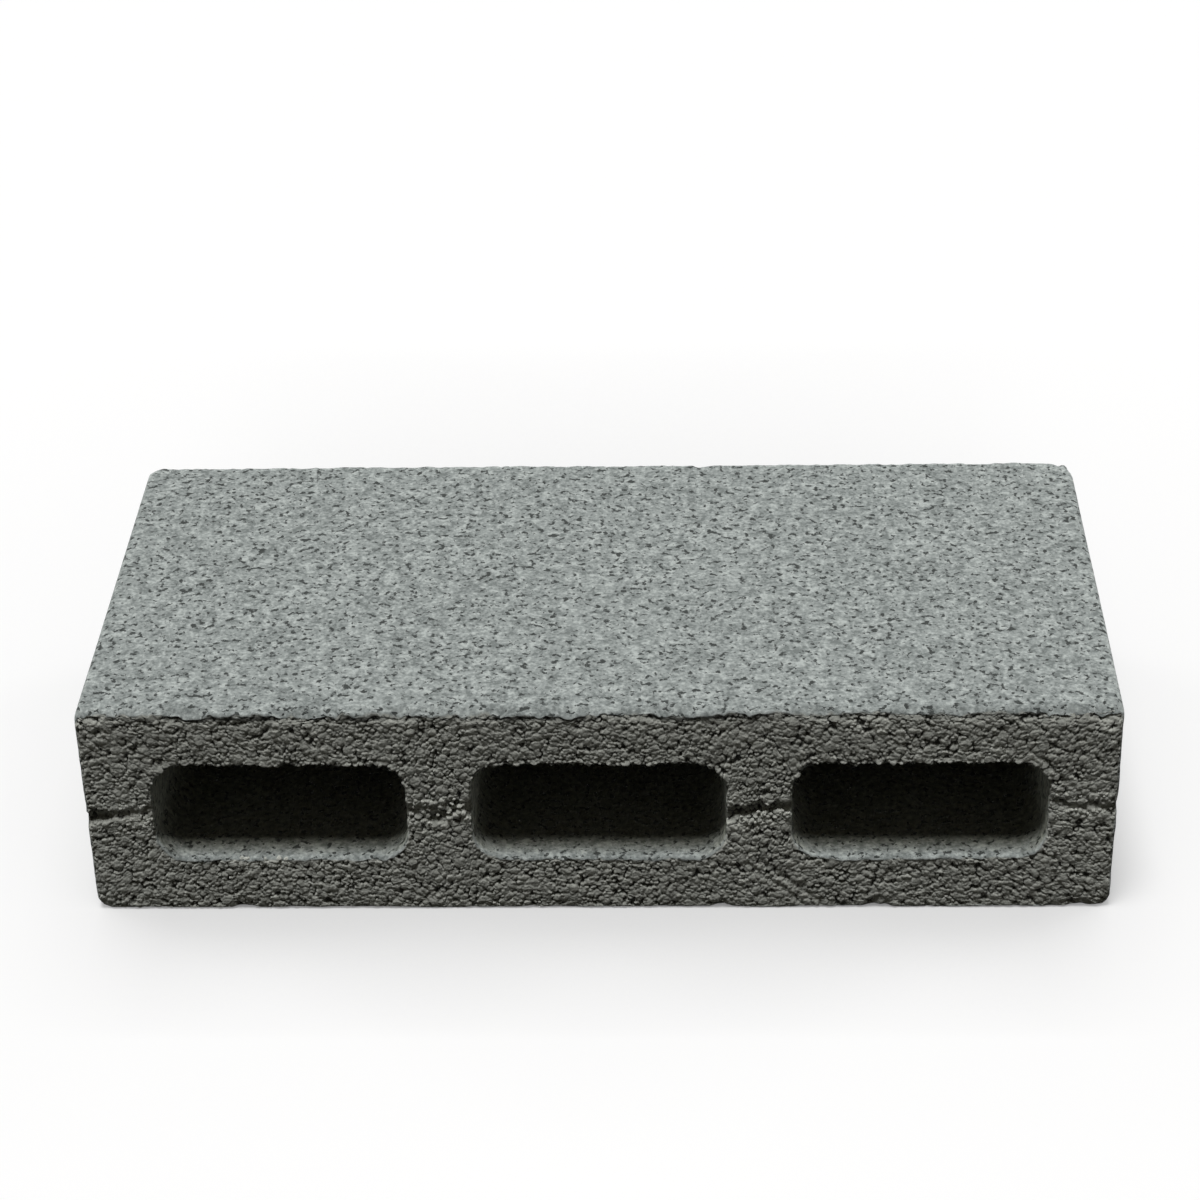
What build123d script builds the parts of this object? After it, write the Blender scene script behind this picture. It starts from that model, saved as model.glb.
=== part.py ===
from build123d import *
import os

# A hollow lightweight-aggregate concrete block, nominal 16 by 8 by 4 inches, cast as one piece.
# It lies on a face shell, as stored: X is its length, Y is the way its three cells run and the way
# it stood in the mould, and Z is its thickness. The origin is the centre of the face it lies on.
# The struck bed, at low Y, was the open top of the mould. The pallet bed, at high Y, was its floor.
# All sizes are in millimetres.

# Overall size: the nominal size less one 3/8 inch mortar joint each way
block_length = 397.0
block_height = 194.0
block_thickness = 92.0

# Walls, measured at the struck bed, where the cores that formed the cells were largest
cell_count = 3
face_shell = 24.5
web = 25.5
end_wall = 26.5

# The cores: rounded corners, and a draft on each side so that the mould could be drawn off
core_corner_radius = 12.0
core_draft = 2.0

# The mark of the bar that carried the cores: a shallow channel over the webs and end walls
bar_mark_width = 10.0
bar_mark_floor = 5.0
bar_mark_depth = 2.5
bar_mark_root_radius = 1.0

# Edges: the mould's own corners, and the worn arrises of both beds and of the cell mouths
mould_corner_radius = 3.0
arris_radius = 1.5
mouth_radius = 1.5

# How far a cutting shape runs past the faces that it cuts
overrun = 5.0

# What follows from the sizes above
struck_bed = -block_height / 2
pallet_bed = block_height / 2
middle = block_thickness / 2
cell_length = (block_length - 2 * end_wall - (cell_count - 1) * web) / cell_count
cell_gap = block_thickness - 2 * face_shell
cell_pitch = cell_length + web
cell_centres = [(i - (cell_count - 1) / 2) * cell_pitch for i in range(cell_count)]


def outer_block():
    # The block without its cells, with rounded mould corners and worn bed arrises
    body = Box(block_length, block_height, block_thickness)
    body = Pos(0, 0, middle) * body
    body = fillet(body.edges().filter_by(Axis.Y), mould_corner_radius)
    beds = [body.faces().sort_by(Axis.Y)[0], body.faces().sort_by(Axis.Y)[-1]]
    arrises = [edge for bed in beds for edge in bed.edges()]
    return fillet(arrises, arris_radius)


def core_section(centre_x, y):
    # The core's rounded rectangle at a height y, smaller by the draft the further it is from the bar
    inset = core_draft * (y - struck_bed) / block_height
    outline = RectangleRounded(
        cell_length - 2 * inset, cell_gap - 2 * inset, core_corner_radius - inset
    )
    across = Plane(origin=(centre_x, y, middle), x_dir=(1, 0, 0), z_dir=(0, 1, 0))
    return across * outline


def core(centre_x):
    # One tapered core, a little longer than the block at both beds
    ends = [core_section(centre_x, y) for y in (struck_bed - overrun, pallet_bed + overrun)]
    return loft(ends, ruled=True)


def soften_mouths(body):
    # Rounds the rims of the cells on both beds
    beds = [body.faces().sort_by(Axis.Y)[0], body.faces().sort_by(Axis.Y)[-1]]
    rims = [edge for bed in beds for wire in bed.inner_wires() for edge in wire.edges()]
    return fillet(rims, mouth_radius)


def bar_mark():
    # The channel's trapezoid, with rounded roots, run along the whole length of the struck bed
    half_top = bar_mark_width / 2
    half_floor = bar_mark_floor / 2
    side_view = Plane(origin=(0, struck_bed, middle), x_dir=(0, 1, 0), z_dir=(1, 0, 0))
    outline = Polygon(
        (-overrun, -half_top),
        (0, -half_top),
        (bar_mark_depth, -half_floor),
        (bar_mark_depth, half_floor),
        (0, half_top),
        (-overrun, half_top),
        align=None,
    )
    roots = outline.vertices().group_by(Axis.X)[-1]
    outline = fillet(roots, bar_mark_root_radius)
    return extrude(side_view * outline, amount=block_length / 2 + overrun, both=True)


block = outer_block()
for centre_x in cell_centres:
    block -= core(centre_x)
block = soften_mouths(block)
block -= bar_mark()
block.label = "block"

os.makedirs("parts", exist_ok=True)
export_step(block, "parts/block.step")
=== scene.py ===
import math
from types import SimpleNamespace

import bmesh
import bpy
import numpy as np
from mathutils import Matrix, Vector


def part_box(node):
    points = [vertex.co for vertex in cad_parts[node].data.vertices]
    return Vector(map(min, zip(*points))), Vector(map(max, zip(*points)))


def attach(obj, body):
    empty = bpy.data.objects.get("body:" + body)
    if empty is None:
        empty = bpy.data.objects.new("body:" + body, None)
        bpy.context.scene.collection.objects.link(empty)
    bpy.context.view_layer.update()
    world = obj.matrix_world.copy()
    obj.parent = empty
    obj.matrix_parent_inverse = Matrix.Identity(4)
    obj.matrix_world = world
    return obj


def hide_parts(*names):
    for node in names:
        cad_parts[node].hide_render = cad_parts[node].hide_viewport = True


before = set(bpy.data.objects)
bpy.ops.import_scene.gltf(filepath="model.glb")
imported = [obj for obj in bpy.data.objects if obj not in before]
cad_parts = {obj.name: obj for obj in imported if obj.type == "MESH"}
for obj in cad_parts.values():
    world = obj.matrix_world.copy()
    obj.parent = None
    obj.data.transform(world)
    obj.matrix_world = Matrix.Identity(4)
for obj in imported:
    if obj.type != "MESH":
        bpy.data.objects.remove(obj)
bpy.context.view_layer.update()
print("frame loaded")

millimetre = 0.001   # in metres: lengths are in millimetres until a mesh is made
tiny = 1e-9          # keeps a division by nothing away
low, high = (np.array(corner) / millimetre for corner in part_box("block"))
halfLength = (high[0] - low[0]) / 2
thickness = high[2] - low[2]
middle = thickness / 2
struckBed, palletBed = low[1], high[1]   # the open top of the mould, and its floor

# The walls and edges of the cast block, as the solid has them
cast = dict(
    cells=3, faceShell=24.5, web=25.5, endWall=26.5,
    coreRadius=12.0, coreDraft=2.0, cornerRadius=3.0, arrisRadius=1.5, mouthRadius=1.5,
)
cellLength = (2 * halfLength - 2 * cast["endWall"] - (cast["cells"] - 1) * cast["web"]) / cast["cells"]
cellHeight = thickness - 2 * cast["faceShell"]
cellPitch = cellLength + cast["web"]
lastCell = (cast["cells"] - 1) / 2   # counted from the middle one
cellCentres = (np.arange(cast["cells"]) - lastCell) * cellPitch


def smoothStep(edge0, edge1, value):
    # 0 before edge0, 1 past edge1, and an S-curve between them
    t = np.clip((value - edge0) / (edge1 - edge0), 0, 1)
    return t * t * (3 - 2 * t)


def softPositive(value, soft):
    # The value where it is well above nothing, 0 where it is well below, and a bend of that softness between
    return 0.5 * (value + np.sqrt(value**2 + soft**2))


def scramble(cells, seed):
    # A number from 0 to 1 for each whole-number lattice point, from multiplying and folding its bits
    c = cells.astype(np.int64).astype(np.uint32)
    n = c[..., 0] * np.uint32(73856093) ^ c[..., 1] * np.uint32(19349663) ^ c[..., 2] * np.uint32(83492791)
    n = n + np.uint32((seed * 7919 + 17) % 4294967296)
    n = (n ^ (n >> np.uint32(15))) * np.uint32(2246822519)
    n = (n ^ (n >> np.uint32(13))) * np.uint32(3266489917)
    n = n ^ (n >> np.uint32(16))
    return n / 4294967295.0


def smoothNoise(points, size, seed):
    # Value noise: random numbers on a lattice of that size, blended between its eight corners, from -1 to 1
    p = points / size
    base = np.floor(p)
    f = p - base
    u = f * f * (3 - 2 * f)
    total = np.zeros(len(points))
    for corner in np.ndindex(2, 2, 2):
        share = np.prod(np.where(corner, u, 1 - u), axis=1)
        total += share * scramble(base + corner, seed)
    return 2 * total - 1


def waveSum(points, waves):
    # Several noises added up, each with its height, its size and its seed
    return sum(height * smoothNoise(points, size, seed) for height, size, seed in waves)


def plate(x, z, halfWide, halfHigh, radius):
    # Rounded rectangle about the origin: the distance outside it, and the direction out of it
    qx, qz = np.abs(x) - (halfWide - radius), np.abs(z) - (halfHigh - radius)
    px, pz = np.maximum(qx, 0), np.maximum(qz, 0)
    length = np.hypot(px, pz)
    flat = length < tiny
    px = np.where(flat, qx >= qz, px / np.maximum(length, tiny))
    pz = np.where(flat, qx < qz, pz / np.maximum(length, tiny))
    return length + np.minimum(np.maximum(qx, qz), 0) - radius, px * np.sign(x), pz * np.sign(z)


def cellInset(y):
    # How far a cell's walls have closed in at that height, evenly from the struck bed to the pallet bed
    return cast["coreDraft"] * (y - struckBed) / (palletBed - struckBed)


def fromOutline(x, z):
    # How far inside the block's outline, and the direction out of the block
    distance, outX, outZ = plate(x, z - middle, halfLength, middle, cast["cornerRadius"])
    return -distance, outX, outZ


def fromMouth(x, y, z):
    # How far outside the nearest cell, and the direction away from it
    cell = np.clip(np.round(x / cellPitch), -lastCell, lastCell)
    inset = cellInset(y)
    halfWide, halfHigh = cellLength / 2 - inset, cellHeight / 2 - inset
    return plate(x - cell * cellPitch, z - middle, halfWide, halfHigh, cast["coreRadius"] - inset)


def onBed(x, z):
    # The points at those places of a bed, with nothing for their height in the mould
    return np.stack([x, np.zeros_like(x), z], axis=1)


def valueAlong(places, key, x):
    # A value that changes evenly from each place along the block to the next one
    return np.interp(x, [place["x"] for place in places], [place[key] for place in places])


# The mark that the core bar left, a trough that wanders. At places along it: the height of its middle, half
# the width of its floor, how deep it is, and over how many millimetres the sides above and below it slope
barMark = (
    dict(x=-198.5, z=44.0, half=1.8, deep=2.9, above=1.3, below=3.0),
    dict(x=-191.0, z=44.6, half=1.8, deep=2.9, above=1.3, below=2.5),
    dict(x=-187.0, z=47.2, half=0.4, deep=0.9, above=1.0, below=3.0),
    dict(x=-183.0, z=46.4, half=0.4, deep=0.6, above=1.0, below=3.0),
    dict(x=-178.5, z=48.2, half=0.4, deep=0.6, above=1.0, below=4.0),
    dict(x=-173.0, z=49.0, half=0.5, deep=1.0, above=1.4, below=5.0),
    dict(x=-76.0, z=46.6, half=1.6, deep=1.5, above=4.5, below=3.5),
    dict(x=-49.0, z=45.6, half=2.2, deep=1.6, above=4.5, below=3.5),
    dict(x=49.0, z=44.3, half=2.0, deep=2.0, above=2.0, below=4.0),
    dict(x=56.0, z=46.4, half=2.0, deep=2.5, above=1.8, below=3.4),
    dict(x=76.0, z=46.6, half=1.9, deep=2.6, above=2.4, below=2.2),
    dict(x=172.0, z=51.0, half=0.5, deep=0.9, above=1.4, below=3.0),
    dict(x=177.0, z=50.0, half=0.5, deep=0.8, above=1.4, below=3.0),
    dict(x=181.0, z=48.4, half=0.6, deep=1.0, above=1.5, below=3.0),
    dict(x=185.0, z=47.4, half=0.7, deep=1.2, above=1.6, below=3.0),
    dict(x=189.0, z=48.8, half=0.7, deep=1.0, above=1.6, below=2.8),
    dict(x=193.5, z=48.0, half=0.9, deep=1.5, above=1.6, below=2.6),
    dict(x=198.5, z=47.2, half=1.3, deep=2.0, above=1.8, below=2.4),
)

# Hollows where grains came away with the bar: place, half length, half height and depth
hollows = (
    dict(x=-63.5, z=44.0, long=3.2, high=2.4, deep=3.0),
    dict(x=-56.3, z=48.6, long=2.4, high=1.8, deep=2.8),
    dict(x=-193.5, z=44.8, long=5.0, high=2.6, deep=3.4),
    dict(x=54.0, z=46.2, long=4.0, high=2.4, deep=2.6),
)

# Shallow scores that the struck bed got as it was screeded: from one place to another, half width and depth
scores = (
    dict(start=(62.5, 22.5), end=(86.0, 3.0), half=1.1, deep=0.55),
    dict(start=(57.0, 21.5), end=(79.0, 2.5), half=0.9, deep=0.40),
    dict(start=(168.5, 70.5), end=(180.0, 58.0), half=0.9, deep=0.40),
)

# Painted light: spots where the grains are painted paler, as where they catch the lamp. Of each: the middle,
# half length and half height
paintedLightSpots = (
    dict(x=-133.0, z=22.6, long=11.0, high=2.4), dict(x=-195.0, z=89.5, long=9.0, high=3.0),
    dict(x=-37.0, z=1.6, long=10.0, high=1.8), dict(x=104.0, z=87.0, long=9.0, high=4.0),
    dict(x=194.0, z=87.0, long=5.0, high=5.0), dict(x=51.0, z=51.3, long=2.6, high=2.0),
    dict(x=-177.0, z=43.0, long=7.0, high=3.0), dict(x=58.0, z=40.5, long=8.0, high=3.5),
    dict(x=70.0, z=44.8, long=6.0, high=1.8), dict(x=185.0, z=44.6, long=11.0, high=2.0),
    dict(x=-70.0, z=50.0, long=3.5, high=2.5), dict(x=-53.0, z=45.5, long=2.5, high=2.5),
)

# How ragged the marks on the bed are. Waves are noises that are added up: each one's height, size and seed
markFinish = dict(
    lineWaves=((1.5, 7, 41), (0.9, 2.6, 45)), sideWaves=((1.1, 3.1, 42),), depthWaves=((0.4, 5, 43),),
    scoreWaves=((0.4, 3, 46),), spotWaves=((0.35, 2.6, 44),), spotFull=0.7, spotEnd=1.25,
)


def nearSpot(x, z, spot):
    # 1 inside a ragged ellipse and 0 outside it
    spread = np.hypot((x - spot["x"]) / spot["long"], (z - spot["z"]) / spot["high"])
    spread = spread + waveSum(onBed(x, z), markFinish["spotWaves"])
    return smoothStep(markFinish["spotEnd"], markFinish["spotFull"], spread)


def markDepth(x, z):
    # A trough along the wandering line, with a flat floor and a slope each side of it, the hollows, where
    # they are deeper, and the scores, each deepest along its line
    s = markFinish
    flat = onBed(x, z)
    line, half, deep = (valueAlong(barMark, key, x) for key in ("z", "half", "deep"))
    over = z - line + waveSum(flat, s["lineWaves"])
    slope = np.where(over > 0, valueAlong(barMark, "above", x), valueAlong(barMark, "below", x))
    away = np.abs(over) + waveSum(flat, s["sideWaves"])
    depth = deep * smoothStep(half + slope, half, away)
    for hollow in hollows:
        depth = np.maximum(depth, hollow["deep"] * nearSpot(x, z, hollow))
    depth *= 1 + waveSum(flat, s["depthWaves"])
    for score in scores:
        start, way = np.array(score["start"]), np.subtract(score["end"], score["start"])
        offset = np.stack([x, z], axis=1) - start
        along = np.clip(offset @ way / (way @ way), 0, 1)
        aside = np.linalg.norm(offset - along[:, None] * way, axis=1) + waveSum(flat, s["scoreWaves"])
        depth = np.maximum(depth, score["deep"] * smoothStep(2 * score["half"], 0, aside))
    return depth


# The grains of aggregate, by size: how far apart they are, how many of their places are taken, their radius
# as a share of that distance, and how much their fronts lean
grainSizes = (
    dict(pitch=5.2, share=0.25, radius=(0.40, 0.50), tilt=0.10, seed=310),
    dict(pitch=3.8, share=0.62, radius=(0.40, 0.54), tilt=0.12, seed=320),
    dict(pitch=2.7, share=0.90, radius=(0.42, 0.56), tilt=0.12, seed=330),
    dict(pitch=1.8, share=1.00, radius=(0.38, 0.52), tilt=0.12, seed=340),
)
grainRoom = 0.88     # the share of its lattice cell, each way, that a grain's middle may lie in
farAway = 9.0        # the distance of a grain whose place is empty


def packedGrains(points):
    # Balls, one in each cell of a lattice for each size. How far outside the nearest ball each point lies,
    # and how far outside the next one; how far the nearest one stands back, how its front leans there, and
    # its tone
    nearest, second, stand, lean, tone = (np.full(len(points), v) for v in (farAway, farAway, 0.0, 0.0, 0.5))
    for size in grainSizes:
        p = points / size["pitch"]
        base = np.floor(p)
        smallest, largest = size["radius"]
        for step in np.ndindex(3, 3, 3):
            cell = base + np.array(step) - 1
            chance = [scramble(cell, size["seed"] + k) for k in range(8)]
            away = cell + (1 - grainRoom) / 2 + grainRoom * np.stack(chance[:3], axis=1) - p
            radius = smallest + (largest - smallest) * chance[3]
            outside = (np.linalg.norm(away, axis=1) - radius) * size["pitch"]
            outside = np.where(chance[7] < size["share"], outside, farAway)
            slant = size["tilt"] * np.einsum("ij,ij->i", away, 2 * np.stack(chance[4:7], axis=1) - 1)
            hit = outside < nearest
            second = np.minimum(second, np.maximum(nearest, outside))
            new = (outside, chance[5], slant * size["pitch"], chance[6])
            nearest, stand, lean, tone = np.where(hit, new, (nearest, stand, lean, tone))
    return nearest, second, stand, lean, tone


# How the crust ends along the upper arris: how far the open grains run over it onto the upper face, less than
# nothing where the crust hangs over the bed, and how much of its full thickness it has kept there, from 0 to
# 1
crustEdge = (
    dict(x=-198.5, reach=0.6, hang=0.15), dict(x=-166.0, reach=0.4, hang=0.15),
    dict(x=-158.0, reach=-0.9, hang=1.0), dict(x=-126.0, reach=-0.8, hang=1.0),
    dict(x=-118.0, reach=0.1, hang=0.15), dict(x=-99.0, reach=0.0, hang=0.15),
    dict(x=-94.0, reach=-0.6, hang=0.85), dict(x=-85.0, reach=-0.6, hang=0.85),
    dict(x=-78.0, reach=0.3, hang=0.15), dict(x=-40.0, reach=0.9, hang=0.15),
    dict(x=-34.0, reach=-0.8, hang=0.85), dict(x=-8.0, reach=-0.8, hang=0.85),
    dict(x=0.0, reach=0.0, hang=0.15), dict(x=18.0, reach=0.0, hang=0.15),
    dict(x=24.0, reach=-0.8, hang=1.0), dict(x=58.0, reach=-0.7, hang=0.85),
    dict(x=66.0, reach=0.1, hang=0.15), dict(x=92.0, reach=0.5, hang=0.15),
    dict(x=104.0, reach=1.1, hang=0.0), dict(x=150.0, reach=0.1, hang=0.15),
    dict(x=198.5, reach=0.6, hang=0.15),
)

# The crust: how far past an edge the grains stand open at the other arrises, and inside a cell on its
# ceiling, flat walls and corners; over what distance it fades in; and how raggedly it ends at the arrises and
# the mouths
crustFinish = dict(
    rimReach=0.4, ceilingReach=2.9, wallReach=-0.7, cornerReach=3.0, fadeStart=-0.5, fadeEnd=0.6,
    edgeWaves=((1.0, 4.6, 11), (0.55, 1.7, 12)), longWave=((1, 17, 29),), rimSway=1.1, mouthSway=0.5,
    upperSway=1.9, hangWaves=((0.4, 6, 17),), markEnd=(9, 5),
)

# The open grains: how far they all stand back and how that varies, how deep and steep the gaps between them
# are, how flat they are pressed, the groove and the dome about each, and how far they stand out at a cell's
# upper lip
grainFinish = dict(
    recess=0.12, stand=0.14, shelf=0.06, shelfReach=(8, 2), swell=0.1, swellWave=((1, 8, 18),),
    fineWaves=((0.045, 0.9, 19), (0.045, 1.4, 20)),
    gapDepth=1.6, gapWaves=((0.3, 5, 16),), gapSlope=2.6, gapBend=0.15, press=0.12,
    warp=0.5, warpSize=1.5, warpSeeds=(13, 14, 15),
    groove=0.36, grooveWidth=0.30, joined=0.85, joinedWaves=((0.5, 3.3, 26),), joinedRange=(0.4, 1.2),
    dome=0.145, domeWidth=1.1,
    lipOut=1.5, lipFill=0.7, lipLeast=0.1, lipShare=0.35, lipReach=(1.7, 0.7), lipDepth=(5, 2),
    lipWave=((1, 4.5, 30),), lipPlaces=(-0.4, 0.3),
)

# How much painted shade darkens the grains, from 0 to 1: deep in the gaps, in the grooves between grains,
# in the bar marks and under the upper crust, where their tone is lowered too; and how much the painted
# light of the pale spots raises their tone
grainShade = dict(
    inGap=0.8, inGroove=0.55, grooveWidth=0.35, inMark=0.3, markDepths=(1, 2.3), paintedLighting=1.1,
    crustShade=0.35, hangShade=0.65, crustShadeTone=0.5, crustReach=(4.5, 1.5),
)

# The closed skin, the wear of the arrises, and how the upper arris and the cells' lips wander
skinFinish = dict(
    uneven=((0.07, 40, 21), (0.03, 9, 22)), eased=0.36, easedReach=(3, 0.5), easedShare=0.75,
    easedWaves=((0.5, 12, 32),),
    worn=0.35, wornReach=(3.0, 0.2), wornWaves=((0.35, 6, 23), (0.25, 2, 24)),
    frayed=1.2, frayedReach=(5.0, 0.0), frayedBelow=0.3, frayedUnderHang=0.3, frayMean=0.4, frayMost=1.5,
    frayWaves=((1.1, 15, 27), (0.9, 5.5, 28), (0.45, 2.1, 31)), chipMean=0.8, chipWaves=((0.6, 2.6, 25),),
    topSink=1.15, sinkMean=0.45, sinkSway=1.7, sinkMost=1.7, lipSway=0.75, bedside=6,
    wanderWaves=((0.5, 13, 33), (0.45, 5, 34), (0.4, 2.4, 35)),
)

# Chips out of the arrises: place, radius and depth
chips = (
    (-190, struckBed, 92, 5, 1.0), (-160, struckBed, 92, 6, 1.1), (-120, struckBed, 92, 5, 0.8),
    (22, struckBed, 92, 6, 0.8), (118, struckBed, 92, 5, 0.7), (176, struckBed, 92, 7, 1.0),
    (192, struckBed, 91, 8, 1.3), (-140, struckBed, 0, 7, 0.8), (47, struckBed, 0, 5, 1.3),
    (108, struckBed, 0, 7, 1.3), (186, struckBed, 0, 6, 1.0),
    (-198, struckBed, 0, 6, 1.6), (198, struckBed, 0, 6, 1.6), (-198, struckBed, 92, 5, 1.2),
    (198, palletBed, 92, 9, 2.4), (-198, palletBed, 92, 5, 1.2), (40, palletBed, 92, 6, 0.6),
)


def whereOnBlock(points):
    # How far each point is behind the struck bed and ahead of the pallet bed, inside the outline and outside
    # the nearest cell; the ways out; how deep the bed is cut there; and how much of the overhanging crust is
    # kept
    at = SimpleNamespace(points=points)
    at.x, at.y, at.z = points.T
    at.behind, at.ahead = at.y - struckBed, palletBed - at.y
    at.rim, at.outX, at.outZ = fromOutline(at.x, at.z)
    at.lip, at.awayX, at.awayZ = fromMouth(at.x, at.y, at.z)
    at.atRim = at.rim < at.lip
    at.onTop = at.atRim & (at.outZ > 0.5)
    at.ceiling = np.clip(at.awayZ, 0, 1)
    at.nearBed = smoothStep(*crustFinish["markEnd"], at.behind)
    at.cut = markDepth(at.x, at.z) * at.nearBed
    at.seat = points.copy()
    at.seat[:, 1] = np.maximum(at.y, struckBed + at.cut)
    kept = valueAlong(crustEdge, "hang", at.x) * (1 + waveSum(points * [1, 0, 0.3], crustFinish["hangWaves"]))
    at.hang = np.clip(kept, 0, 1) * at.onTop
    return at


def outwardWay(at):
    # The way out of the plain skin: over a rounded edge it turns evenly from the bed's way out to the side's
    radius = np.where(at.atRim, cast["arrisRadius"], cast["mouthRadius"])
    side = np.clip(cast["arrisRadius"] - at.rim, 0, None)
    wall = np.clip(cast["mouthRadius"] - at.lip, 0, None)
    bed = np.clip(radius - at.ahead, 0, None) - np.clip(radius - at.behind, 0, None)
    way = np.stack([at.outX * side - at.awayX * wall, bed, at.outZ * side - at.awayZ * wall], axis=1)
    return way / np.maximum(np.linalg.norm(way, axis=1), tiny)[:, None]


def openShare(at):
    # 1 where the grains stand open and 0 under the closed crust, which ends raggedly near the arris, and
    # about 2 mm inside a cell at its upper lip
    s = crustFinish
    past = np.minimum(at.rim, at.lip) - np.clip(at.behind - at.cut, 0, None)
    reachRim = np.where(at.onTop, valueAlong(crustEdge, "reach", at.x), s["rimReach"])
    reachLip = s["ceilingReach"] * at.ceiling + s["wallReach"]
    reachLip += s["cornerReach"] * (1 - np.abs(at.awayZ)) ** 2
    ragged = waveSum(at.points, s["edgeWaves"])
    ragged += np.where(at.atRim, s["rimSway"], s["mouthSway"]) * waveSum(at.points, s["longWave"])
    ragged *= np.where(at.onTop, s["upperSway"], 1.0)
    return smoothStep(s["fadeStart"], s["fadeEnd"], past + np.where(at.atRim, reachRim, reachLip) + ragged)


def openGrains(at, struck):
    # How deep the open grains lie: the distance outside the nearest ball makes the gaps, nothing in front of
    # the bed's plane is kept but what stands out at an upper lip, and the next ball's nearness makes the
    # grooves. Also how much painted shade darkens each place, for being deep, between grains, in a bar mark
    # or under the upper crust, and the tone of its grain, raised by painted light at the pale spots and
    # lowered by painted shade under the crust
    s, shade = grainFinish, grainShade
    near = struck > 0
    seat = at.seat[near]
    warp = np.stack([smoothNoise(seat, s["warpSize"], seed) for seed in s["warpSeeds"]], axis=1)
    found = [np.zeros(len(struck)) for k in range(5)]
    for whole, part in zip(found, packedGrains(seat + s["warp"] * warp)):
        whole[near] = part
    first, second, stand, lean, tone = found
    between = np.clip(second - first, 0, None)
    gap = s["gapDepth"] * (1 + waveSum(at.points, s["gapWaves"]))
    first = np.where(first > 0, s["gapSlope"] * first, first)
    first = gap - softPositive(gap - first, s["gapBend"])
    proud = np.where(at.atRim, 0, s["lipLeast"] + (1 - s["lipLeast"]) * at.ceiling)
    proud = proud * smoothStep(*s["lipReach"], at.lip) * smoothStep(*s["lipDepth"], at.behind)
    inPlaces = smoothStep(*s["lipPlaces"], waveSum(at.points * [1, 0, 0], s["lipWave"]))
    proud *= s["lipShare"] + (1 - s["lipShare"]) * inPlaces
    first = first + s["lipFill"] * proud
    proud = s["lipOut"] * proud
    pressed = softPositive(first + proud, s["press"]) - proud
    joined = np.clip(s["joined"] + waveSum(at.points, s["joinedWaves"]), *s["joinedRange"])
    groove = s["groove"] * joined * np.exp(-between / s["grooveWidth"])
    groove += s["dome"] * np.exp(-between / s["domeWidth"])
    shelf = s["shelf"] * smoothStep(*s["shelfReach"], at.rim) * (1 + at.hang)
    swell = s["swell"] * (1 + waveSum(at.points, s["swellWave"]))
    depth = s["recess"] + pressed + s["stand"] * stand + groove + lean + shelf + swell
    depth += waveSum(at.points, s["fineWaves"])

    underCrust = at.onTop * smoothStep(*shade["crustReach"], at.rim)
    # Painted shade: the colour is darkened deep in the gaps and in the grooves between grains, partly as
    # their own darker colour, and in the bar marks
    hollow = shade["inGap"] * np.clip((pressed + proud) / gap, 0, 1)
    hollow += shade["inGroove"] * np.exp(-between / shade["grooveWidth"])
    hollow += shade["inMark"] * smoothStep(*shade["markDepths"], at.cut)
    # Painted shadow of the overhanging crust: a dark band under it, deeper where it hangs over
    hollow += (shade["crustShade"] + shade["hangShade"] * at.hang) * underCrust
    # Painted light: the grains' tone is raised in the pale spots
    for spot in paintedLightSpots:
        tone = tone + shade["paintedLighting"] * nearSpot(at.x, at.z, spot) * at.nearBed
    # Painted shade: the grains' tone is lowered under the upper crust
    return depth, np.clip(hollow * struck, 0, 1), tone - shade["crustShadeTone"] * underCrust


def closedSkin(at):
    # How deep the closed skin lies: two slow swells, and near the struck bed what the crust eases back by
    s = skinFinish
    swells = sum(height * (1 + smoothNoise(at.points, size, seed)) for height, size, seed in s["uneven"])
    eased = smoothStep(*s["easedReach"], at.behind - at.cut)
    eased = eased * (s["easedShare"] + waveSum(at.points, s["easedWaves"]))
    return swells + s["eased"] * eased * (1 - at.hang)


def edgeWear(at):
    # How much is gone from the edges: the pallet bed's arris is worn, the struck bed's is frayed, most of all
    # along the upper face, and each chip is a dent with an uneven floor
    s = skinFinish
    inside = np.clip(at.rim, 0, None)
    worn = smoothStep(*s["wornReach"], np.hypot(inside, np.clip(at.ahead, 0, None)))
    wear = worn * (s["worn"] + waveSum(at.points, s["wornWaves"]))
    frayed = smoothStep(*s["frayedReach"], np.hypot(inside, np.clip(at.behind - at.cut, 0, None)))
    frayed *= s["frayedBelow"] + (1 - s["frayedBelow"]) * smoothStep(0.2, 0.7, at.outZ)
    frayed *= 1 - (1 - s["frayedUnderHang"]) * at.hang
    fray = s["frayMean"] + waveSum(at.points, s["frayWaves"])
    wear += s["frayed"] * frayed * np.clip(fray, 0, s["frayMost"])
    for chip in chips:
        spread = np.linalg.norm(at.points - chip[:3], axis=1) / chip[3]
        wear += chip[4] * smoothStep(1, 0.3, spread) * (s["chipMean"] + waveSum(at.points, s["chipWaves"]))
    return wear


def edgeWander(at):
    # How far the upper arris sinks and the cells' lips rise or sink, as where grains left with the mould
    s = skinFinish
    reach = s["bedside"]
    wander = waveSum(at.points * [1, 0, 0], s["wanderWaves"])
    sink = np.clip(s["sinkMean"] + s["sinkSway"] * wander, 0, s["sinkMost"])
    sink = sink * np.clip(at.outZ, 0, 1) * at.atRim * smoothStep(reach, 0, at.rim)
    sway = wander * np.abs(at.awayZ) * ~at.atRim * smoothStep(reach, 0, at.lip)
    return (s["lipSway"] * sway - s["topSink"] * sink) * smoothStep(reach, 0, at.behind)


def paintedCellShade(at):
    # 1 where a cell's wall gets painted shade, a warmer darker tint, which starts a little way in and is on
    # no bed
    deep, sideDeep = 14, 4   # over how many millimetres it starts on the floor and ceiling, and on the sides
    paintedLighting = np.maximum(smoothStep(0, deep, at.behind), np.abs(at.awayX) * smoothStep(0, sideDeep, at.behind))
    return paintedLighting * smoothStep(cast["mouthRadius"], 0, at.lip) * smoothStep(0, deep, at.ahead)


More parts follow.
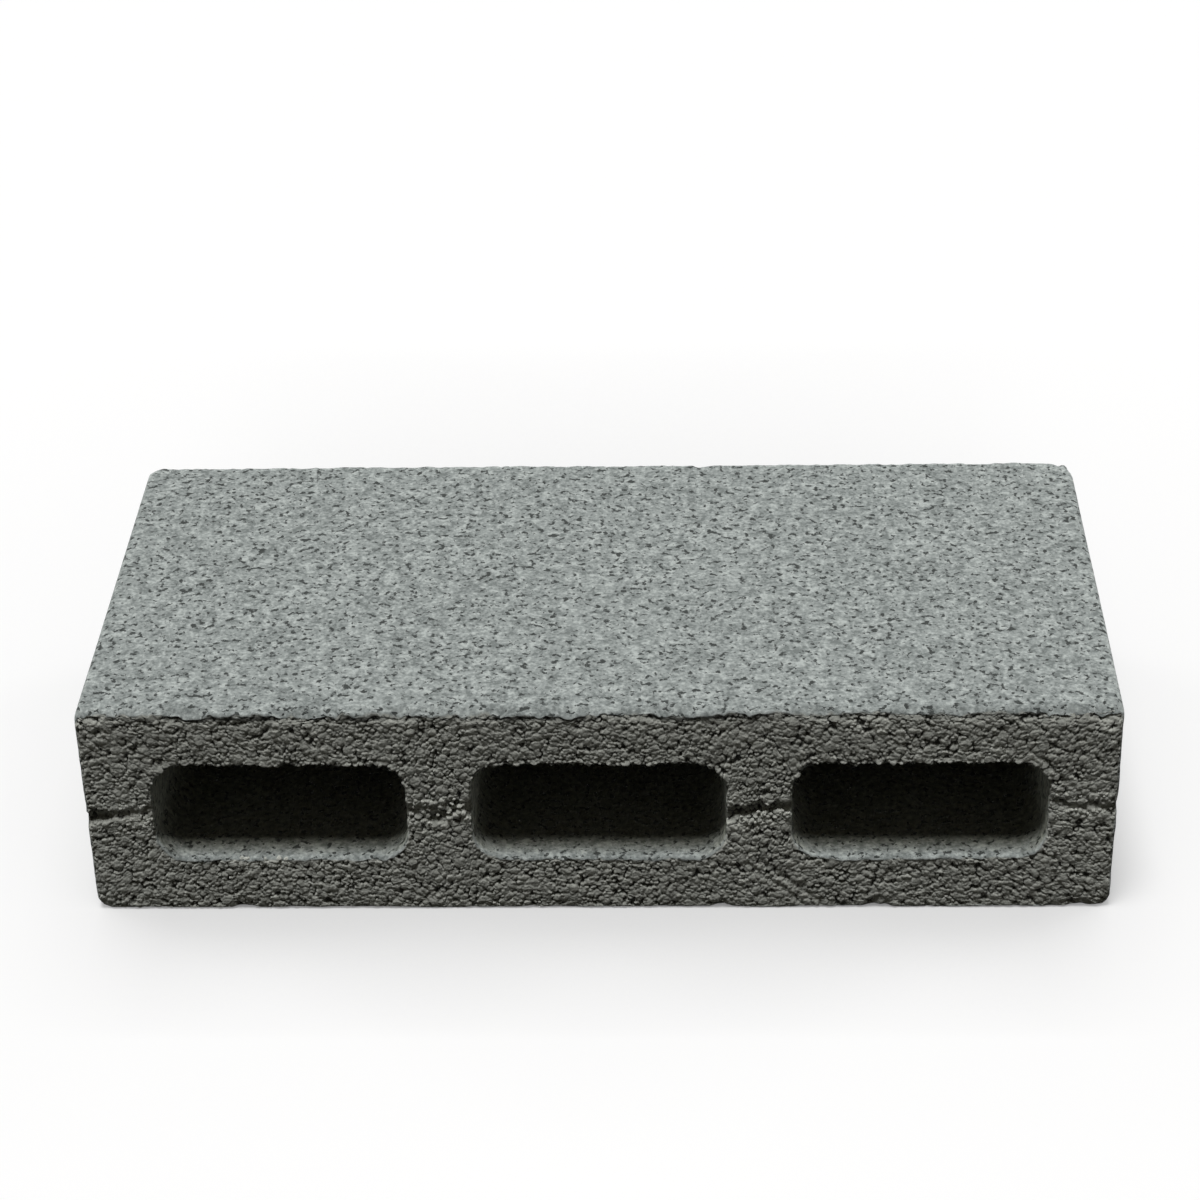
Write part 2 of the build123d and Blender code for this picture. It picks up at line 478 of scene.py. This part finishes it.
def castSurface(points):
    # Moves each point of the plain solid's skin straight in by the depth of its finish, or out at the cells'
    # upper lips, and up or down where the edge wanders; no point leaves the solid's box
    at = whereOnBlock(np.round(points, 6))
    struck = openShare(at)
    grains, hollow, tone = openGrains(at, struck)
    depth = struck * grains + (1 - struck) * closedSkin(at) + edgeWear(at)
    seat = at.seat.copy()
    seat[:, 2] += edgeWander(at)
    moved = np.clip(seat - outwardWay(at) * depth[:, None], low, high)
    return moved, dict(struck=struck, core=paintedCellShade(at), tone=tone, hollow=hollow)


def gridFaces(rows, columns):
    # Quads between neighbouring rings of points, each ring closed on itself
    i = np.arange(rows - 1)[:, None] * columns
    j = np.arange(columns)[None, :]
    k = (j + 1) % columns
    corners = np.broadcast_arrays(i + j, i + k, i + columns + k, i + columns + j)
    return np.stack(corners, -1).reshape(-1, 4)


def makePiece(name, points, faces, attributes, hidden=None):
    # One object from arrays of points in millimetres and faces, with numbers kept on its points;
    # hidden faces, which meet another piece, are flat so that they don't bend the light on the ones that show
    mesh = bpy.data.meshes.new(name)
    corners = np.concatenate([f.ravel() for f in faces])
    sizes = np.concatenate([np.full(len(f), f.shape[1]) for f in faces])
    mesh.vertices.add(len(points))
    mesh.vertices.foreach_set("co", (points * millimetre).astype(np.float32).ravel())
    mesh.loops.add(len(corners))
    mesh.loops.foreach_set("vertex_index", corners.astype(np.int32))
    mesh.polygons.add(len(sizes))
    mesh.polygons.foreach_set("loop_start", (np.cumsum(sizes) - sizes).astype(np.int32))
    mesh.update(calc_edges=True)
    smooth = np.ones(len(sizes), bool)
    if hidden is not None:
        smooth = ~np.concatenate([hidden[f].all(axis=1) for f in faces])
    mesh.polygons.foreach_set("use_smooth", smooth)
    for key, values in attributes.items():
        mesh.attributes.new(key, "FLOAT", "POINT").data.foreach_set("value", values.astype(np.float32))
    work = bmesh.new()
    work.from_mesh(mesh)
    samePlace = 1e-4 * millimetre   # a face whose points lie this near each other is taken out
    bmesh.ops.dissolve_degenerate(work, dist=samePlace, edges=work.edges)
    bmesh.ops.recalc_face_normals(work, faces=work.faces)
    work.to_mesh(mesh)
    work.free()
    piece = bpy.data.objects.new(name, mesh)
    bpy.context.collection.objects.link(piece)
    openEdges = 2 * len(mesh.edges) - len(mesh.loops)
    print(name, "has", len(mesh.loops) - 2 * len(mesh.polygons), "triangles,", openEdges, "open edges")
    return piece


# The block's skin, as rings of points along the profile of each cell and of the outside. Points are counted
# along a cell's share of a face shell and along an end. The pieces meet at the seam, that far behind the
# struck bed, and each runs past it by overlap. Over a rounded edge a ring's turn is 0 in the bed and 1 in the
# side. Places are distances behind the struck bed, some with what the count of points is divided by there
blockSkin = dict(
    longSide=320, shortSide=224, struckRings=62, palletRings=10, seam=6.0, overlap=0.02,
    struckTurns=(1, 0.8, 0.6, 0.4, 0.2), outsideTurns=(0, 0.33, 0.67, 1), cellTurns=(1, 0.67, 0.33),
    struckPlaces=(6.02, 6, 5.2, 4.4, 3.7, 3.1, 2.5, 2.0),
    outsidePlaces=(
        (191, 2), (189.5, 2), (187, 2), (183, 2), (177, 4), (167, 4), (155, 4), (143, 4), (131, 4), (119, 4),
        (107, 4), (95, 4), (83, 4), (71, 4), (59, 4), (48, 4), (38, 4), (29, 4), (22, 4), (16, 2), (12, 2),
        (9, 2), (7.5, 1), (6, 1), (5.98, 1),
    ),
    cellPlaces=(
        (5.98, 1), (6, 1), (7.5, 1), (9, 2), (11, 2), (14, 2), (18, 4), (25, 4), (35, 4), (47, 4), (60, 4),
        (74, 4), (88, 4), (102, 4), (116, 4), (130, 4), (143, 4), (155, 4), (166, 4), (176, 4), (184, 4),
        (189, 2),
    ),
)
seamPlace = struckBed + blockSkin["seam"]


def sideRun(start, end, radiusA, radiusB, count):
    # One side of a rectangle by length: half the corner's arc behind it, the straight, half the arc ahead
    start, end = np.array(start, float), np.array(end, float)
    along = (end - start) / np.linalg.norm(end - start)
    out = np.array([-along[1], along[0]])
    arcA, arcB = radiusA * math.pi / 4, radiusB * math.pi / 4
    straight = np.linalg.norm(end - start) - radiusA - radiusB
    s = np.arange(count) / count * (arcA + straight + arcB)
    back = np.clip(arcA - s, 0, None) / max(radiusA, tiny)
    onward = np.clip(s - arcA - straight, 0, None) / max(radiusB, tiny)
    angle = (onward - back)[:, None]
    normal = out * np.cos(angle) + along * np.sin(angle)
    radius = np.where(angle < 0, radiusA, radiusB)
    return start + along * (radiusA + np.clip(s - arcA, 0, straight))[:, None] + radius * (normal - out)


def rectangleSides(west, east, bottom, top, radii, divide):
    # The four sides in turn, clockwise from the upper left corner; radii go the same way
    corners = [(west, top), (east, top), (east, bottom), (west, bottom)]
    counts = [blockSkin["longSide"] // divide, blockSkin["shortSide"] // divide] * 2
    return [sideRun(corners[i], corners[i - 3], radii[i], radii[i - 3], counts[i]) for i in range(4)]


def panelSides(cell, inset, divide):
    # The outline of one cell's share of the bed, that far inside the block's outline
    last = cast["cells"] - 1
    corner = max(cast["cornerRadius"] - inset, 0)
    west = cellCentres[cell] - cellPitch / 2 if cell > 0 else -halfLength + inset
    east = cellCentres[cell] + cellPitch / 2 if cell < last else halfLength - inset
    radii = [corner if cell == 0 else 0, corner if cell == last else 0]
    return rectangleSides(west, east, inset, thickness - inset, radii + radii[::-1], divide)


def coreSides(cell, y, spread, divide):
    # The outline of a cell at that height, made wider by spread
    inset = cellInset(y) - spread
    halfWide, halfHigh = cellLength / 2 - inset, cellHeight / 2 - inset
    west, east = cellCentres[cell] - halfWide, cellCentres[cell] + halfWide
    radii = [cast["coreRadius"] - inset] * 4
    return rectangleSides(west, east, middle - halfHigh, middle + halfHigh, radii, divide)


def outsideSides(inset, divide):
    # The block's whole outline, made of the outer sides of the cells' shares
    panels = [panelSides(cell, inset, divide) for cell in range(cast["cells"])]
    return [p[0] for p in panels] + [panels[-1][1]] + [p[2] for p in panels[::-1]] + [panels[0][3]]


def ringAt(sides, y):
    # The sides of an outline joined up, as points at that height in the mould
    return np.insert(np.concatenate(sides), 1, y, axis=1)


def edgeSteps(radius, bed, turns):
    # Over a rounded edge, each ring's height and how far it lies in from the side, on a quarter of a circle
    angles = np.array(turns) * math.pi / 2
    return list(zip(bed + np.copysign(radius * (1 - np.cos(angles)), -bed), radius * (1 - np.sin(angles))))


def spreadRings(outer, inner, count, y):
    # Rings that go over a flat bed from an outer outline to an inner one
    outer, inner = np.concatenate(outer), np.concatenate(inner)
    shares = np.linspace(0, 1, count + 1)
    return [np.insert(outer + (inner - outer) * share, 1, y, axis=1) for share in shares]


def stitch(rings, closed=False):
    # Faces between rings that follow each other: quads, or three triangles where the count halves or doubles
    starts = np.cumsum([0] + [len(r) for r in rings])
    quads, triangles = [], [np.empty((0, 3), int)]
    for i in range(len(rings) - (0 if closed else 1)):
        n = (i + 1) % len(rings)
        a, b = len(rings[i]), len(rings[n])
        if a == b:
            j = np.arange(a)
            k = (j + 1) % a
            quads.append(np.stack([starts[i] + j, starts[i] + k, starts[n] + k, starts[n] + j], axis=1))
            continue
        fine, coarse = (starts[n], starts[i]) if a < b else (starts[i], starts[n])
        half = min(a, b)
        j = np.arange(half)
        f0, f1, f2 = fine + 2 * j, fine + 2 * j + 1, fine + (2 * j + 2) % (2 * half)
        c0, c1 = coarse + j, coarse + (j + 1) % half
        fan = np.concatenate([np.stack(t, 1) for t in ((f0, f1, c0), (f1, c1, c0), (f1, f2, c1))])
        triangles.append(fan[:, ::-1] if a < b else fan)
    return np.concatenate(rings), np.concatenate(quads), np.concatenate(triangles)


def buildStruckEnd(cell, name):
    # One cell's share of the struck bed, with the first millimetres of the moulded faces and the cell's
    # walls: rings go out to the arris, over it, in over the bed to the mouth, over its rim and back along the
    # walls
    s, arris, mouth = blockSkin, cast["arrisRadius"], cast["mouthRadius"]
    places, turns = s["struckPlaces"], s["struckTurns"]
    rings = [ringAt(panelSides(cell, 0, 1), struckBed + place) for place in places]
    rings += [ringAt(panelSides(cell, inset, 1), y) for y, inset in edgeSteps(arris, struckBed, turns)]
    outer, inner = panelSides(cell, arris, 1), coreSides(cell, struckBed, mouth, 1)
    rings += spreadRings(outer, inner, s["struckRings"], struckBed)
    steps = edgeSteps(mouth, struckBed, turns[::-1])
    rings += [ringAt(coreSides(cell, y, inset, 1), y) for y, inset in steps]
    rings += [ringAt(coreSides(cell, struckBed + place, 0, 1), struckBed + place) for place in places[::-1]]
    nominal, quads, triangles = stitch(rings, closed=True)
    moved, attributes = castSurface(nominal)
    hidden = nominal[:, 1] > seamPlace + s["overlap"] / 2
    for way in (-1, 1):
        if 0 <= cell + way < cast["cells"]:
            joint = cellCentres[cell] + way * cellPitch / 2
            hidden |= np.abs(nominal[:, 0] - joint) < 1e-6
    return makePiece(name, moved, [quads, triangles], attributes, hidden)


def buildMouldedBody():
    # The rest of the block: moulded faces, the cells' walls and the pallet bed, closed flat at the seam. The
    # rings of the outside and those of each cell are stitched by themselves, and then joined where they meet
    s, arris, mouth = blockSkin, cast["arrisRadius"], cast["mouthRadius"]
    rings = [ringAt(outsideSides(inset, 2), y) for y, inset in edgeSteps(arris, palletBed, s["outsideTurns"])]
    rings += [ringAt(outsideSides(0, divide), struckBed + place) for place, divide in s["outsidePlaces"]]
    parts = [stitch(rings)]
    for cell in range(cast["cells"]):
        rings = [ringAt(panelSides(cell, 0, 1), seamPlace - s["overlap"])]
        for place, divide in s["cellPlaces"]:
            rings.append(ringAt(coreSides(cell, struckBed + place, 0, divide), struckBed + place))
        for y, inset in edgeSteps(mouth, palletBed, s["cellTurns"]):
            rings.append(ringAt(coreSides(cell, y, inset, 2), y))
        inner, outer = coreSides(cell, palletBed, mouth, 2), panelSides(cell, arris, 2)
        rings += spreadRings(inner, outer, s["palletRings"], palletBed)
        parts.append(stitch(rings))
    shifts = np.cumsum([0] + [len(p[0]) for p in parts])
    nominal = np.concatenate([p[0] for p in parts])
    faces = [np.concatenate([p[k] + shift for p, shift in zip(parts, shifts)]) for k in (1, 2)]
    first, same = np.unique(np.round(nominal, 3), axis=0, return_index=True, return_inverse=True)[1:]
    nominal, faces = nominal[first], [same.ravel()[f] for f in faces]
    moved, attributes = castSurface(nominal)
    return makePiece("mouldedBody", moved, faces, attributes, nominal[:, 1] < seamPlace - s["overlap"] / 2)


mouldedBody = buildMouldedBody()
endNames = ("struckEndLeft", "struckEndMiddle", "struckEndRight")
struckEnds = [buildStruckEnd(cell, name) for cell, name in enumerate(endNames)]
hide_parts("block")
for piece in [mouldedBody] + struckEnds:
    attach(piece, "root")
print("cast block built")

# Pebbles that came loose where the bar was drawn out, and a few along one cell's lower lip. Of each heap: the
# ranges of place and radius, how far the fronts lie behind the bed, and the count. Of each pebble: its points
# round and from end to end, its cutting planes and how near they come, its stretch and its tone
loosePebbles = dict(
    heaps=(
        dict(x=(-73, -60), z=(47.5, 52.0), radius=(1.2, 2.2), front=(0.0, 0.6), count=13),
        dict(x=(-55, -51), z=(43.0, 47.0), radius=(1.2, 1.9), front=(0.0, 0.5), count=6),
        dict(x=(-73, -52), z=(40.0, 52.5), radius=(0.6, 1.2), front=(0.2, 1.4), count=50),
        dict(x=(50, 52.5), z=(50.2, 52.5), radius=(1.2, 1.9), front=(0.0, 0.4), count=4),
        dict(x=(60, 74), z=(43.0, 46.0), radius=(0.6, 1.3), front=(0.1, 0.8), count=26),
        dict(x=(51, 62), z=(38.5, 43.5), radius=(0.6, 1.3), front=(0.1, 0.8), count=20),
        dict(x=(-190, -176), z=(48.0, 50.5), radius=(0.9, 1.7), front=(0.0, 0.5), count=18),
        dict(x=(-184, -173), z=(38.0, 43.5), radius=(0.6, 1.4), front=(0.2, 1.0), count=26),
        dict(x=(174, 196), z=(43.5, 46.5), radius=(0.6, 1.5), front=(0.1, 0.8), count=30),
        dict(x=(174, 196), z=(51.5, 54.0), radius=(0.8, 1.6), front=(0.1, 0.6), count=16),
        dict(x=(-140, -122), z=(20.8, 24.2), radius=(0.6, 1.4), front=(0.2, 1.1), count=22),
    ),
    around=10, bands=6, planes=9, planeReach=(0.62, 0.92), stretch=(0.8, 1.15), tone=(0.5, 1.4),
    sunk=0.85, margin=0.05, seed=21,
)


def buildPebbles():
    # Balls cut by random planes: a point's distance from the middle is the least that any plane allows in its
    # direction, stretched three ways; all rings of all pebbles are worked out at once
    s = loosePebbles
    rng = np.random.default_rng(s["seed"])
    spots = []
    for heap in s["heaps"]:
        ranges = np.array([heap["x"], heap["front"], heap["z"], heap["radius"]])
        spots.append(rng.uniform(ranges[:, 0], ranges[:, 1], (heap["count"], 4)))
    spots = np.concatenate(spots)
    radius = spots[:, 3]
    v = np.linspace(0, math.pi, s["bands"] + 1)[1:-1]
    u = np.arange(s["around"]) / s["around"] * 2 * math.pi
    uu, vv = np.meshgrid(u, v)
    ball = np.stack([np.sin(vv) * np.cos(uu), -np.cos(vv), np.sin(vv) * np.sin(uu)], -1).reshape(-1, 3)
    ball = np.concatenate([[[0, -1, 0]], ball, [[0, 1, 0]]])
    count, each = len(spots), len(ball)
    planes = rng.normal(0, 1, (count, s["planes"], 3))
    planes /= np.linalg.norm(planes, axis=2, keepdims=True)
    facing = np.maximum(np.einsum("vk,npk->nvp", ball, planes), 0.05)   # a plane seen edge-on cuts nothing
    reach = rng.uniform(*s["planeReach"], (count, 1, s["planes"])) / facing
    shape = ball * np.minimum(reach.min(axis=2), 1)[:, :, None] * rng.uniform(*s["stretch"], (count, 1, 3))
    centres = spots[:, :3] + [0, struckBed, 0]
    centres[:, 1] += s["sunk"] * radius
    points = (shape * radius[:, None, None] + centres[:, None]).reshape(-1, 3)
    j = np.arange(s["around"])
    k = (j + 1) % s["around"]
    last = 1 + (s["bands"] - 2) * s["around"]
    frontFan = np.stack([0 * j, 1 + k, 1 + j], 1)
    backFan = np.stack([0 * j + each - 1, last + j, last + k], 1)
    shift = (np.arange(count) * each)[:, None, None]
    quads = (gridFaces(s["bands"] - 1, s["around"])[None] + 1 + shift).reshape(-1, 4)
    triangles = (np.concatenate([frontFan, backFan])[None] + shift).reshape(-1, 3)
    points = np.clip(points, low + s["margin"], high - s["margin"])
    full = np.ones(len(points))
    tone = np.repeat(rng.uniform(*s["tone"], count), each)
    attributes = dict(struck=full, core=0 * full, tone=tone, hollow=0 * full)
    return makePiece("loosePebbles", points, [quads, triangles], attributes)


pebbles = buildPebbles()
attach(pebbles, "root")
print("pebbles built")


def toLinear(hexColour):
    # An sRGB hex colour as linear red, green and blue, by the standard's straight foot and power curve
    values = [int(hexColour[i:i + 2], 16) / 255 for i in (1, 3, 5)]
    return [v / 12.92 if v <= 0.04045 else ((v + 0.055) / 1.055) ** 2.4 for v in values] + [1.0]


def addNode(tree, kind, settings=None, **sockets):
    # Adds a node, gives it its settings, and sets its sockets. A socket that is given a node takes the first
    # output of that node. A socket goes by its name with _ for a space, or by i and its number
    node = tree.nodes.new(kind)
    for key, value in (settings or {}).items():
        setattr(node, key, value)
    for key, value in sockets.items():
        socket = node.inputs[int(key[1:])] if key[1:].isdigit() else node.inputs[key.replace("_", " ")]
        if isinstance(value, bpy.types.Node):
            value = next(output for output in value.outputs if output.enabled)
        if isinstance(value, bpy.types.NodeSocket):
            tree.links.new(value, socket)
        else:
            socket.default_value = value
    return node


# Settings that many nodes share
mixColour = dict(data_type="RGBA")
mixNumber = dict(data_type="FLOAT")
softRange = dict(interpolation_type="SMOOTHSTEP")
times = dict(operation="MULTIPLY")
timesPlus = dict(operation="MULTIPLY_ADD")

# The concrete: colours, sizes of the patterns in millimetres, and depths of the fine relief in millimetres
# Painted shade: the pin-holes' colour, the warm tint multiplied in deep inside the cells, and the gaps'
# colour, which is partly their own
concreteFinish = dict(
    skinPale="#C0C6C3", skinMiddle="#A0A6A4", skinDark="#818785", fleck="#484C4A", cellShade="#D8D4C6",
    openPale="#D0D2CA", openDark="#A2A49D", gap="#33332F",
    mottle=3.6, grain=1.5, fleckSize=2.5, fleckLow=0.345, fleckHigh=0.43, pinHole=0.5, pebbleSkin=0.4,
    grit=1.3, gritDepth=0.32, dust=0.5, dustDepth=0.20, diffuse=1.0, roughness=0.95, sheen=0.2,
)


def vibroPressedConcrete():
    # Lightweight concrete, shaken and pressed dry in a steel mould. Against the steel it closes to a pale
    # blue-grey skin with pin-holes, painted dark as painted shade, and deep in the cells it gets a warmer,
    # darker painted shade; on the struck bed the grains stand open, warmer and dusty, with the gaps between
    # them darkened, as painted shade and partly their own colour
    s = concreteFinish
    material = bpy.data.materials.new("vibroPressedConcrete")
    material.use_nodes = True
    tree = material.node_tree
    place = addNode(tree, "ShaderNodeTexCoord").outputs["Object"]
    place = addNode(tree, "ShaderNodeVectorMath", dict(operation="SCALE"), i0=place, Scale=1 / millimetre)
    struck, core, tone, hollow = (
        addNode(tree, "ShaderNodeAttribute", dict(attribute_name=name)).outputs["Fac"]
        for name in ("struck", "core", "tone", "hollow")
    )

    # The moulded skin: two patterns of patches together choose its tone, and a third places the pin-holes,
    # which get painted shade and a dent in the bump
    patches = dict(Vector=place, Detail=3, Roughness=0.6)
    mottle = addNode(tree, "ShaderNodeTexNoise", None, Scale=1 / s["mottle"], **patches)
    grain = addNode(tree, "ShaderNodeTexNoise", None, Scale=1 / s["grain"], **patches)
    shade = addNode(tree, "ShaderNodeMath", None, i0=mottle, i1=grain)
    shade = addNode(tree, "ShaderNodeMapRange", None, Value=shade, From_Min=0.6, From_Max=1.4)
    shown = addNode(tree, "ShaderNodeMapRange", softRange, Value=shade, From_Min=0.25, From_Max=0.52)
    dark, mid, pale = (toLinear(s[key]) for key in ("skinDark", "skinMiddle", "skinPale"))
    skin = addNode(tree, "ShaderNodeMix", mixColour, i0=shown, i6=dark, i7=mid)
    shown = addNode(tree, "ShaderNodeMapRange", softRange, Value=shade, From_Min=0.5, From_Max=0.8)
    skin = addNode(tree, "ShaderNodeMix", mixColour, i0=shown, i6=skin, i7=pale)
    specks = dict(Vector=place, Detail=2, Roughness=0.55, Distortion=0.15)
    fleck = addNode(tree, "ShaderNodeTexNoise", None, Scale=1 / s["fleckSize"], **specks)
    span = dict(From_Min=s["fleckLow"], From_Max=s["fleckHigh"], To_Min=1, To_Max=0)
    fleck = addNode(tree, "ShaderNodeMapRange", softRange, Value=fleck, **span)
    skin = addNode(tree, "ShaderNodeMix", mixColour, i0=fleck, i6=skin, i7=toLinear(s["fleck"]))
    # Painted shade: deep inside each cell the skin is multiplied by a warmer, darker colour
    multiplied = dict(data_type="RGBA", blend_type="MULTIPLY")
    skin = addNode(tree, "ShaderNodeMix", multiplied, i0=core, i6=skin, i7=toLinear(s["cellShade"]))

    # The open grains: each has its own tone, with painted light at the pale spots and painted shade under the
    # crust, and grit stuck on it; gaps, bar marks and the band under the crust are darkened towards the gap
    # colour as painted shade, the gaps partly with their own darker colour
    grit = addNode(tree, "ShaderNodeTexVoronoi", None, Vector=place, Scale=1 / s["grit"])
    powder = dict(Vector=place, Detail=3, Roughness=0.65)
    dust = addNode(tree, "ShaderNodeTexNoise", None, Scale=1 / s["dust"], **powder)
    shown = addNode(tree, "ShaderNodeMapRange", softRange, Value=dust, From_Min=0.35, From_Max=0.65)
    shown = addNode(tree, "ShaderNodeMix", mixNumber, i0=0.5, i2=shown, i3=tone)
    dark, pale = toLinear(s["openDark"]), toLinear(s["openPale"])
    grains = addNode(tree, "ShaderNodeMix", mixColour, i0=shown, i6=dark, i7=pale)
    # Painted shade: the hollow share darkens the grains towards the gap colour
    span = dict(From_Min=0.45, From_Max=1.0, To_Max=0.85)
    shown = addNode(tree, "ShaderNodeMapRange", softRange, Value=hollow, **span)
    grains = addNode(tree, "ShaderNodeMix", mixColour, i0=shown, i6=grains, i7=toLinear(s["gap"]))

    # Fine relief in millimetres: pin-holes and pebbled skin, or round bits of grit and dust
    pinHole = addNode(tree, "ShaderNodeMath", times, i0=fleck, i1=-s["pinHole"])
    skinRelief = addNode(tree, "ShaderNodeMath", timesPlus, i0=grain, i1=s["pebbleSkin"], i2=pinHole)
    gritRelief = addNode(tree, "ShaderNodeMath", dict(operation="POWER"), i0=grit, i1=2.0)
    gritRelief = addNode(tree, "ShaderNodeMath", times, i0=gritRelief, i1=-s["gritDepth"])
    openRelief = addNode(tree, "ShaderNodeMath", timesPlus, i0=dust, i1=s["dustDepth"], i2=gritRelief)
    relief = addNode(tree, "ShaderNodeMix", mixNumber, i0=struck, i2=skinRelief, i3=openRelief)
    bump = addNode(tree, "ShaderNodeBump", None, Height=relief, Distance=millimetre, Strength=1.0)

    colour = addNode(tree, "ShaderNodeMix", mixColour, i0=struck, i6=skin, i7=grains)
    tree.nodes.remove(tree.nodes["Principled BSDF"])
    even = dict(Roughness=s["roughness"], Diffuse_Roughness=s["diffuse"], Specular_IOR_Level=s["sheen"])
    shader = addNode(tree, "ShaderNodeBsdfPrincipled", None, Base_Color=colour, Normal=bump, **even)
    tree.links.new(shader.outputs[0], tree.nodes["Material Output"].inputs["Surface"])
    return material


concrete = vibroPressedConcrete()
for piece in [mouldedBody, pebbles] + struckEnds:
    piece.data.materials.append(concrete)
print("concrete applied")

# The lamps' levels, directions and softness in degrees, the sky and the floor. The floor's glow has a
# painted shadow near the block, in front and behind: how far that reaches in metres, how it leans and how
# deep it is. Past the ends, from endsStart to endsStop, the painted shadow falls to a share of that
studio = dict(
    keyLevel=0.92, keyAround=-32, keyHeight=79.7, keySpread=20,
    fillLevel=0.25, fillHeight=13, fillAround=62, fillSpread=25,
    skyLevel=0.024, skyTint="#FFEBC8",
    frontReach=0.08, frontLean=1.4, frontDepth=0.58, backReach=0.30, backLean=-1.5, backDepth=0.7,
    endsDepth=0.45, endsStart=0.17, endsStop=0.23,
    floorSize=12, paper=(0.97, 0.97, 0.97, 1), paperUnseen=(0.06, 0.06, 0.055, 1), paperGlow=0.6,
)


def addLamp(name, level, azimuth, height, spread):
    # A sun whose light falls from that azimuth (0 is the camera's side) and height above the horizon
    lamp = bpy.data.lights.new(name, "SUN")
    lamp.energy = level * math.pi
    lamp.angle = math.radians(spread)
    thing = bpy.data.objects.new(name, lamp)
    a, h = math.radians(azimuth), math.radians(height)
    source = Vector((math.sin(a) * math.cos(h), -math.cos(a) * math.cos(h), math.sin(h)))
    thing.rotation_euler = source.to_track_quat("Z", "Y").to_euler()
    thing.location = source * 2
    bpy.context.collection.objects.link(thing)


def seenDirectly(tree):
    # 1 for rays that show the surface to the camera, straight, in gloss or through glass, and 0 for the rest
    path = addNode(tree, "ShaderNodeLightPath").outputs
    most = dict(operation="MAXIMUM")
    seen = addNode(tree, "ShaderNodeMath", most, i0=path["Is Camera Ray"], i1=path["Is Glossy Ray"])
    return addNode(tree, "ShaderNodeMath", most, i0=seen, i1=path["Is Transmission Ray"])


def floorPaper():
    # White paper that throws little light back up. The camera sees its glow with a painted shadow: darker by
    # the share of sky that is hidden, looked for leaning forward and back, and less dark past the block's
    # ends
    s = studio
    material = bpy.data.materials.new("whitePaper")
    material.use_nodes = True
    tree = material.node_tree
    tree.nodes.clear()
    shade = 1.0
    for side in ("front", "back"):
        lean = Vector((0, s[side + "Lean"], 1)).normalized()
        lean = addNode(tree, "ShaderNodeCombineXYZ", None, Y=lean.y, Z=lean.z)
        reach = dict(Distance=s[side + "Reach"], Normal=lean)
        near = addNode(tree, "ShaderNodeAmbientOcclusion", dict(samples=16), **reach).outputs["AO"]
        near = addNode(tree, "ShaderNodeMapRange", None, Value=near, To_Min=1 - s[side + "Depth"])
        shade = addNode(tree, "ShaderNodeMath", times, i0=shade, i1=near)
    across = addNode(tree, "ShaderNodeTexCoord").outputs["Object"]
    across = addNode(tree, "ShaderNodeSeparateXYZ", None, Vector=across)
    across = addNode(tree, "ShaderNodeMath", dict(operation="ABSOLUTE"), i0=across)
    span = dict(From_Min=s["endsStart"], From_Max=s["endsStop"], To_Min=1, To_Max=s["endsDepth"])
    atEnds = addNode(tree, "ShaderNodeMapRange", None, Value=across, **span)
    shade = addNode(tree, "ShaderNodeMix", mixNumber, i0=atEnds, i2=1.0, i3=shade)
    glow = addNode(tree, "ShaderNodeEmission", None, Strength=shade)
    lit = addNode(tree, "ShaderNodeBsdfDiffuse", None, Color=s["paper"])
    seen = addNode(tree, "ShaderNodeMixShader", None, i0=s["paperGlow"], i1=lit, i2=glow)
    unseen = addNode(tree, "ShaderNodeBsdfDiffuse", None, Color=s["paperUnseen"])
    both = addNode(tree, "ShaderNodeMixShader", None, i0=seenDirectly(tree), i1=unseen, i2=seen)
    addNode(tree, "ShaderNodeOutputMaterial", None, Surface=both)
    return material


def buildStudio():
    # A soft lamp high in front, a low one behind each side, a white sky with a weak warm light, and the paper
    s = studio
    addLamp("overheadSoftbox", s["keyLevel"], s["keyAround"], s["keyHeight"], s["keySpread"])
    addLamp("backLeftFill", s["fillLevel"], 180 + s["fillAround"], s["fillHeight"], s["fillSpread"])
    addLamp("backRightFill", s["fillLevel"], 180 - s["fillAround"], s["fillHeight"], s["fillSpread"])
    world = bpy.data.worlds.new("studioSky")
    bpy.context.scene.world = world
    world.use_nodes = True
    tree = world.node_tree
    seen = seenDirectly(tree)
    level = addNode(tree, "ShaderNodeMapRange", None, Value=seen, To_Min=s["skyLevel"])
    tint = addNode(tree, "ShaderNodeMix", mixColour, i0=seen, i6=toLinear(s["skyTint"]), i7=(1, 1, 1, 1))
    tree.nodes.remove(tree.nodes["Background"])
    sky = addNode(tree, "ShaderNodeBackground", None, Color=tint, Strength=level)
    tree.links.new(sky.outputs[0], tree.nodes["World Output"].inputs["Surface"])
    bpy.ops.mesh.primitive_plane_add(size=s["floorSize"])
    floor = bpy.context.object
    floor.name = "studioFloor"
    floor.data.materials.append(floorPaper())


# Where the camera stands and looks in millimetres, its roll in degrees, and its lens, sensor and reach
cameraPose = dict(
    place=(38.7, -1044.0, 721.2), aim=(-3.45, 60.03, 46.0), roll=-1.45, lens=90.67, sensor=36, reach=100,
)


def addCamera():
    # Turns the camera from its place towards the aim, and then about its own axis by the roll
    s = cameraPose
    lens = bpy.data.cameras.new("camera")
    lens.lens = s["lens"]
    lens.sensor_width = s["sensor"]
    lens.clip_end = s["reach"]
    camera = bpy.data.objects.new("camera", lens)
    place, aim = Vector(s["place"]) * millimetre, Vector(s["aim"]) * millimetre
    roll = Matrix.Rotation(math.radians(s["roll"]), 3, "Z")
    turn = (place - aim).to_track_quat("Z", "Y").to_matrix() @ roll
    camera.matrix_world = Matrix.Translation(place) @ turn.to_4x4()
    bpy.context.collection.objects.link(camera)
    bpy.context.scene.camera = camera


buildStudio()
addCamera()
bpy.context.scene.view_settings.view_transform = "Standard"
print("studio ready")
